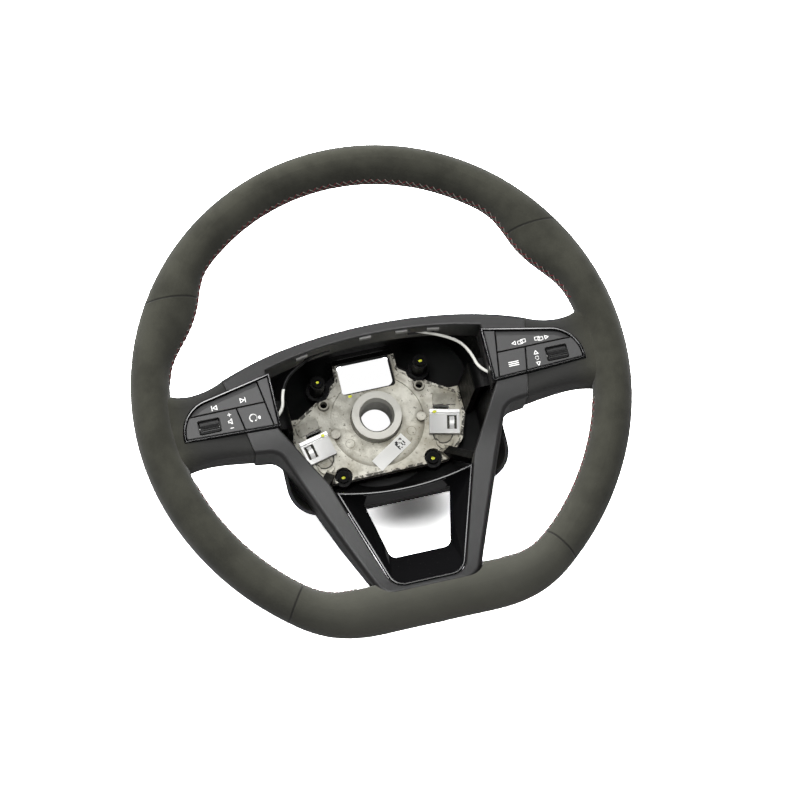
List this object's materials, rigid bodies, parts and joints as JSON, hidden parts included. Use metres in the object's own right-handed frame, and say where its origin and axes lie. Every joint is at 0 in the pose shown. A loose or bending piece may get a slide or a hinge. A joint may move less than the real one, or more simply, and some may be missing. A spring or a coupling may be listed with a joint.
{
  "type": "steering wheel",
  "caption": "Car steering wheel with a suede-wrapped flat-bottomed rim, switch spokes, a framed lower window and an open hub casting that takes the column and an airbag.",
  "frame": {"origin": "on the column axis, at the rear end of the hub sleeve", "axes": "+Z along the column towards the driver, +Y to the top of the wheel, +X to the driver's right"},
  "size_m": [0.3704, 0.3708, 0.129],
  "materials": {
    "suede": "short suede nap",
    "cover_plastic": "fine grain",
    "gloss_trim": "high gloss",
    "switch_plastic": "satin",
    "roller_grip": "knurled",
    "casting": "as cast",
    "sleeve_steel": "turned",
    "screw_steel": "zinc plated",
    "clip_steel": "zinc plated",
    "foam": "moulded foam",
    "board": "satin",
    "mat_rubber": "matte",
    "lead_sheath": "satin"
  },
  "bodies": {
    "wheel": {"armature": "casting", "hub_sleeve": "sleeve_steel", "rim_foam": "foam", "rim_cover_top": "suede", "rim_cover_bottom": "suede", "rear_cover": "cover_plastic", "spoke_cover": "cover_plastic", "lower_trim": "gloss_trim", "cover_screws": "screw_steel", "switch_lead": "lead_sheath", "left_rim_cover": "suede", "left_clip": "clip_steel", "left_clip_leaf": "screw_steel", "left_switch_housing": "switch_plastic", "left_switch_bezel": "gloss_trim", "left_switch_board": "board", "left_key_mat": "mat_rubber", "left_rocker_pin": "screw_steel", "left_roller_plate": "switch_plastic", "left_end_cap": "switch_plastic", "right_rim_cover": "suede", "right_clip": "clip_steel", "right_clip_leaf": "screw_steel", "right_switch_housing": "switch_plastic", "right_switch_bezel": "gloss_trim", "right_switch_board": "board", "right_key_mat": "mat_rubber", "right_rocker_pin": "screw_steel", "right_roller_plate": "switch_plastic", "right_end_cap": "switch_plastic"},
    "left_rocker": {"left_rocker": "switch_plastic"},
    "left_button": {"left_push_button": "switch_plastic"},
    "left_roller_carrier": {"left_roller_carrier": "switch_plastic", "left_roller_axle": "screw_steel"},
    "left_roller": {"left_roller": "roller_grip"},
    "right_rocker": {"right_rocker": "switch_plastic"},
    "right_button": {"right_push_button": "switch_plastic"},
    "right_roller_carrier": {"right_roller_carrier": "switch_plastic", "right_roller_axle": "screw_steel"},
    "right_roller": {"right_roller": "roller_grip"}
  },
  "joints": [
    {"name": "left_rocker_tilt", "type": "hinge", "parent": "wheel", "child": "left_rocker", "pos_m": [-0.11575, 0.0104, 0.103], "axis": [0, 1, 0], "range_deg": [-2, 2], "stiffness_Nm_per_rad": 2.3},
    {"name": "left_button_press", "type": "slide", "parent": "wheel", "child": "left_button", "axis": [0, 0, -1], "range_m": [0, 0.0008], "stiffness_N_per_m": 3750},
    {"name": "left_roller_press", "type": "slide", "parent": "wheel", "child": "left_roller_carrier", "axis": [0, 0, -1], "range_m": [0, 0.0006], "stiffness_N_per_m": 5000},
    {"name": "left_roller_spin", "type": "hinge", "parent": "left_roller_carrier", "child": "left_roller", "pos_m": [-0.1314, -0.0045, 0.1053], "axis": [1, 0, 0], "continuous": true},
    {"name": "right_rocker_tilt", "type": "hinge", "parent": "wheel", "child": "right_rocker", "pos_m": [0.11575, 0.0104, 0.103], "axis": [0, 1, 0], "range_deg": [-2, 2], "stiffness_Nm_per_rad": 2.3},
    {"name": "right_button_press", "type": "slide", "parent": "wheel", "child": "right_button", "axis": [0, 0, -1], "range_m": [0, 0.0008], "stiffness_N_per_m": 3750},
    {"name": "right_roller_press", "type": "slide", "parent": "wheel", "child": "right_roller_carrier", "axis": [0, 0, -1], "range_m": [0, 0.0006], "stiffness_N_per_m": 5000},
    {"name": "right_roller_spin", "type": "hinge", "parent": "right_roller_carrier", "child": "right_roller", "pos_m": [0.1314, -0.0045, 0.1053], "axis": [1, 0, 0], "continuous": true}
  ]
}
